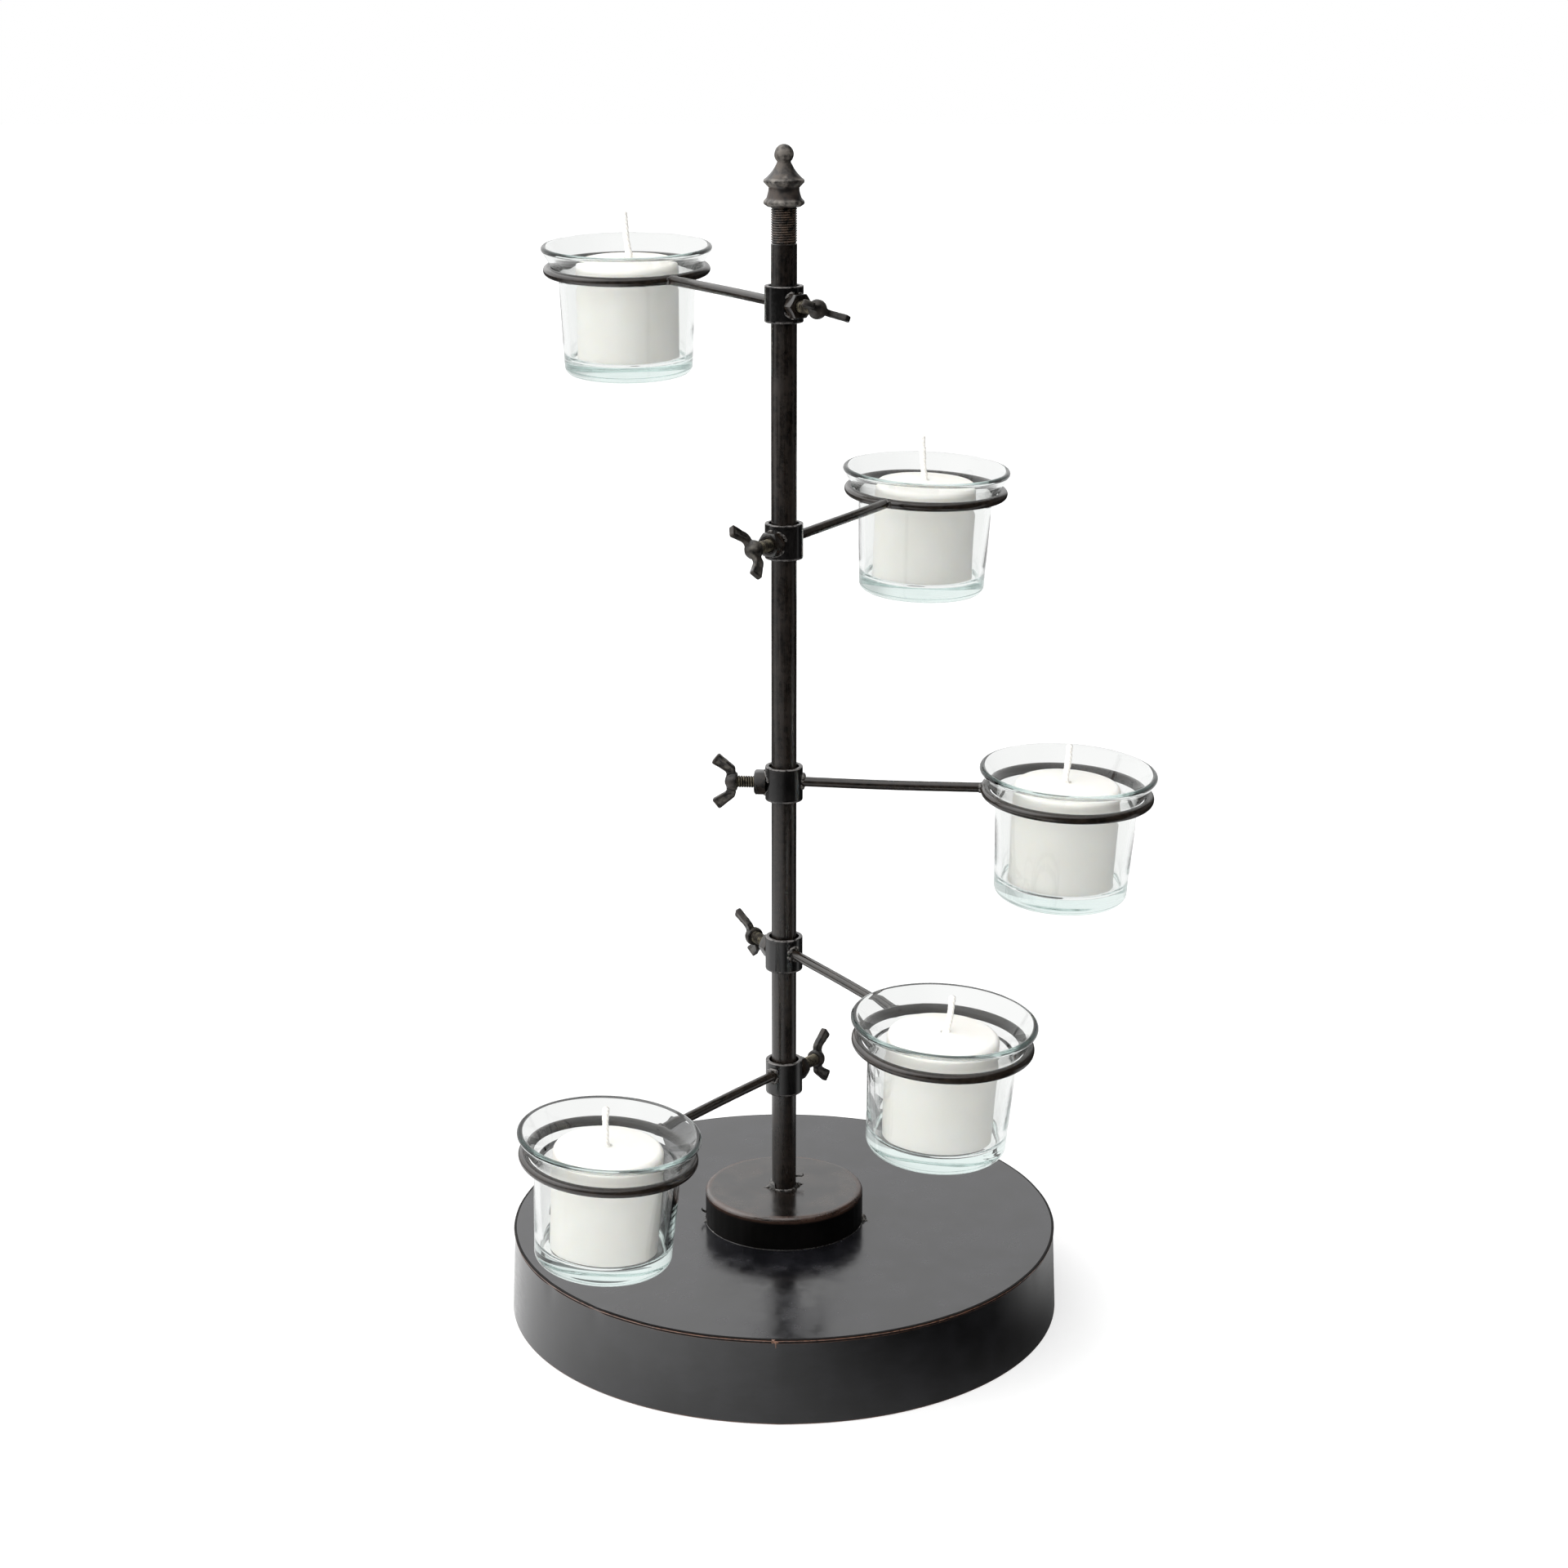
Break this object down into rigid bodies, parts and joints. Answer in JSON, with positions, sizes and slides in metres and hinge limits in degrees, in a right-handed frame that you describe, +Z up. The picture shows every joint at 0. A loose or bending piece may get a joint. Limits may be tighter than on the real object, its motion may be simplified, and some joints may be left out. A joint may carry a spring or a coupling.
{
  "type": "votive candle tree",
  "caption": "Table-top candle tree: round metal base, upright tube with finial, and sliding, turning rod arms that hold glass votive cups, each clamped by a wing screw.",
  "frame": {"origin": "centre of the base's underside, on the upright's axis", "axes": "+Z up along the upright tube; the front of the tree faces -Y, with the topmost arm at back left"},
  "size_m": [0.2681, 0.2684, 0.4857],
  "materials": {
    "patina_steel": "satin black-bronze patina under lacquer, rubbed to brown on the edges",
    "base_plate": "brushed grey-black patina under a glossy lacquer, brown on the edges",
    "weld_metal": "rough black weld beads",
    "cast_metal": "cast metal with a dark bronze patina, brown on the high spots",
    "zinc_steel": "zinc-plated thread, partly blackened",
    "clear_glass": "clear pressed glass with a faint green edge",
    "wax": "smooth white wax, slightly translucent",
    "wick_cord": "waxed cotton wick"
  },
  "bodies": {
    "base": {"base_top": "base_plate", "base_side": "patina_steel", "base_bottom": "patina_steel", "pole_socket": "base_plate", "socket_welds": "weld_metal", "pole": "patina_steel", "pole_foot_weld": "weld_metal"},
    "finial": {"finial": "cast_metal"},
    "slider_1": {"collar_lip_1": "patina_steel"},
    "arm_1": {"collar_1": "patina_steel", "hex_nut_1": "patina_steel", "arm_rod_1": "patina_steel", "cup_ring_1": "patina_steel"},
    "screw_1": {"screw_stud_1": "zinc_steel"},
    "wing_1": {"wing_head_1": "cast_metal"},
    "cup_1": {"glass_cup_1": "clear_glass"},
    "candle_1": {"candle_1": "wax", "wick_1": "wick_cord"},
    "slider_2": {"collar_lip_2": "patina_steel"},
    "arm_2": {"collar_2": "patina_steel", "hex_nut_2": "patina_steel", "arm_rod_2": "patina_steel", "cup_ring_2": "patina_steel"},
    "screw_2": {"screw_stud_2": "zinc_steel"},
    "wing_2": {"wing_head_2": "cast_metal"},
    "cup_2": {"glass_cup_2": "clear_glass"},
    "candle_2": {"candle_2": "wax", "wick_2": "wick_cord"},
    "slider_3": {"collar_lip_3": "patina_steel"},
    "arm_3": {"collar_3": "patina_steel", "hex_nut_3": "patina_steel", "arm_rod_3": "patina_steel", "cup_ring_3": "patina_steel"},
    "screw_3": {"screw_stud_3": "zinc_steel"},
    "wing_3": {"wing_head_3": "cast_metal"},
    "cup_3": {"glass_cup_3": "clear_glass"},
    "candle_3": {"candle_3": "wax", "wick_3": "wick_cord"},
    "slider_4": {"collar_lip_4": "patina_steel"},
    "arm_4": {"collar_4": "patina_steel", "hex_nut_4": "patina_steel", "arm_rod_4": "patina_steel", "cup_ring_4": "patina_steel"},
    "screw_4": {"screw_stud_4": "zinc_steel"},
    "wing_4": {"wing_head_4": "cast_metal"},
    "cup_4": {"glass_cup_4": "clear_glass"},
    "candle_4": {"candle_4": "wax", "wick_4": "wick_cord"},
    "slider_5": {"collar_lip_5": "patina_steel"},
    "arm_5": {"collar_5": "patina_steel", "hex_nut_5": "patina_steel", "arm_rod_5": "patina_steel", "cup_ring_5": "patina_steel"},
    "screw_5": {"screw_stud_5": "zinc_steel"},
    "wing_5": {"wing_head_5": "cast_metal"},
    "cup_5": {"glass_cup_5": "clear_glass"},
    "candle_5": {"candle_5": "wax", "wick_5": "wick_cord"}
  },
  "joints": [
    {"name": "unscrew_finial", "type": "slide", "parent": "base", "child": "finial", "axis": [0, 0, 1], "range_m": [0, 0.012]},
    {"name": "slide_arm_1", "type": "slide", "parent": "base", "child": "slider_1", "axis": [0, 0, 1], "range_m": [-0.065, 0.028]},
    {"name": "swing_arm_1", "type": "hinge", "parent": "slider_1", "child": "arm_1", "pos_m": [0, 0, 0.4244], "axis": [0, 0, 1], "continuous": true},
    {"name": "advance_screw_1", "type": "slide", "parent": "arm_1", "child": "screw_1", "axis": [0.5736, -0.8192, 0], "range_m": [0, 0.00425]},
    {"name": "turn_wing_1", "type": "hinge", "parent": "screw_1", "child": "wing_1", "pos_m": [0.01205, -0.0172, 0.4244], "axis": [0.5736, -0.8192, 0], "range_deg": [0, 1530]},
    {"name": "lift_cup_1", "type": "slide", "parent": "arm_1", "child": "cup_1", "axis": [-0.0036, -0.0557, 0.9984], "range_m": [0, 0.06]},
    {"name": "lift_candle_1", "type": "slide", "parent": "cup_1", "child": "candle_1", "axis": [-0.0036, -0.0557, 0.9984], "range_m": [0, 0.05]},
    {"name": "slide_arm_2", "type": "slide", "parent": "base", "child": "slider_2", "axis": [0, 0, 1], "range_m": [-0.07, 0.065]},
    {"name": "swing_arm_2", "type": "hinge", "parent": "slider_2", "child": "arm_2", "pos_m": [0, 0, 0.3302], "axis": [0, 0, 1], "continuous": true},
    {"name": "advance_screw_2", "type": "slide", "parent": "arm_2", "child": "screw_2", "axis": [-0.5299, -0.848, 0], "range_m": [0, 0.00425]},
    {"name": "turn_wing_2", "type": "hinge", "parent": "screw_2", "child": "wing_2", "pos_m": [-0.01113, -0.01781, 0.3302], "axis": [-0.5299, -0.848, 0], "range_deg": [0, 1530]},
    {"name": "lift_cup_2", "type": "slide", "parent": "arm_2", "child": "cup_2", "axis": [0.0324, -0.0305, 0.999], "range_m": [0, 0.06]},
    {"name": "lift_candle_2", "type": "slide", "parent": "cup_2", "child": "candle_2", "axis": [0.0324, -0.0305, 0.999], "range_m": [0, 0.05]},
    {"name": "slide_arm_3", "type": "slide", "parent": "base", "child": "slider_3", "axis": [0, 0, 1], "range_m": [-0.045, 0.07]},
    {"name": "swing_arm_3", "type": "hinge", "parent": "slider_3", "child": "arm_3", "pos_m": [0, 0, 0.2294], "axis": [0, 0, 1], "continuous": true},
    {"name": "advance_screw_3", "type": "slide", "parent": "arm_3", "child": "screw_3", "axis": [-0.9962, 0.0872, 0], "range_m": [0, 0.00425]},
    {"name": "turn_wing_3", "type": "hinge", "parent": "screw_3", "child": "wing_3", "pos_m": [-0.01913, 0.00167, 0.2294], "axis": [-0.9962, 0.0872, 0], "range_deg": [0, 1530]},
    {"name": "lift_cup_3", "type": "slide", "parent": "arm_3", "child": "cup_3", "axis": [0.0404, -0.0386, 0.9984], "range_m": [0, 0.06]},
    {"name": "lift_candle_3", "type": "slide", "parent": "cup_3", "child": "candle_3", "axis": [0.0404, -0.0386, 0.9984], "range_m": [0, 0.05]},
    {"name": "slide_arm_4", "type": "slide", "parent": "base", "child": "slider_4", "axis": [0, 0, 1], "range_m": [-0.03, 0.045]},
    {"name": "swing_arm_4", "type": "hinge", "parent": "slider_4", "child": "arm_4", "pos_m": [0, 0, 0.156], "axis": [0, 0, 1], "range_deg": [-28, 200]},
    {"name": "advance_screw_4", "type": "slide", "parent": "arm_4", "child": "screw_4", "axis": [-0.5299, 0.848, 0], "range_m": [0, 0.00425]},
    {"name": "turn_wing_4", "type": "hinge", "parent": "screw_4", "child": "wing_4", "pos_m": [-0.01192, 0.01908, 0.156], "axis": [-0.5299, 0.848, 0], "range_deg": [0, 1530]},
    {"name": "lift_cup_4", "type": "slide", "parent": "arm_4", "child": "cup_4", "axis": [0.0518, -0.0499, 0.9974], "range_m": [0, 0.06]},
    {"name": "lift_candle_4", "type": "slide", "parent": "cup_4", "child": "candle_4", "axis": [0.0518, -0.0499, 0.9974], "range_m": [0, 0.05]},
    {"name": "slide_arm_5", "type": "slide", "parent": "base", "child": "slider_5", "axis": [0, 0, 1], "range_m": [-0.022, 0.03]},
    {"name": "swing_arm_5", "type": "hinge", "parent": "slider_5", "child": "arm_5", "pos_m": [0, 0, 0.1013], "axis": [0, 0, 1], "range_deg": [-250, 28]},
    {"name": "advance_screw_5", "type": "slide", "parent": "arm_5", "child": "screw_5", "axis": [0.5948, 0.8039, 0], "range_m": [0, 0.00425]},
    {"name": "turn_wing_5", "type": "hinge", "parent": "screw_5", "child": "wing_5", "pos_m": [0.01279, 0.01728, 0.1013], "axis": [0.5948, 0.8039, 0], "range_deg": [0, 1530]},
    {"name": "lift_cup_5", "type": "slide", "parent": "arm_5", "child": "cup_5", "axis": [0.0664, -0.0275, 0.9974], "range_m": [0, 0.06]},
    {"name": "lift_candle_5", "type": "slide", "parent": "cup_5", "child": "candle_5", "axis": [0.0664, -0.0275, 0.9974], "range_m": [0, 0.05]}
  ],
  "couplings": [
    {"joint": "turn_wing_1", "follows": "advance_screw_1", "rad_per_m": 6283.2},
    {"joint": "turn_wing_2", "follows": "advance_screw_2", "rad_per_m": 6283.2},
    {"joint": "turn_wing_3", "follows": "advance_screw_3", "rad_per_m": 6283.2},
    {"joint": "turn_wing_4", "follows": "advance_screw_4", "rad_per_m": 6283.2},
    {"joint": "turn_wing_5", "follows": "advance_screw_5", "rad_per_m": 6283.2}
  ]
}
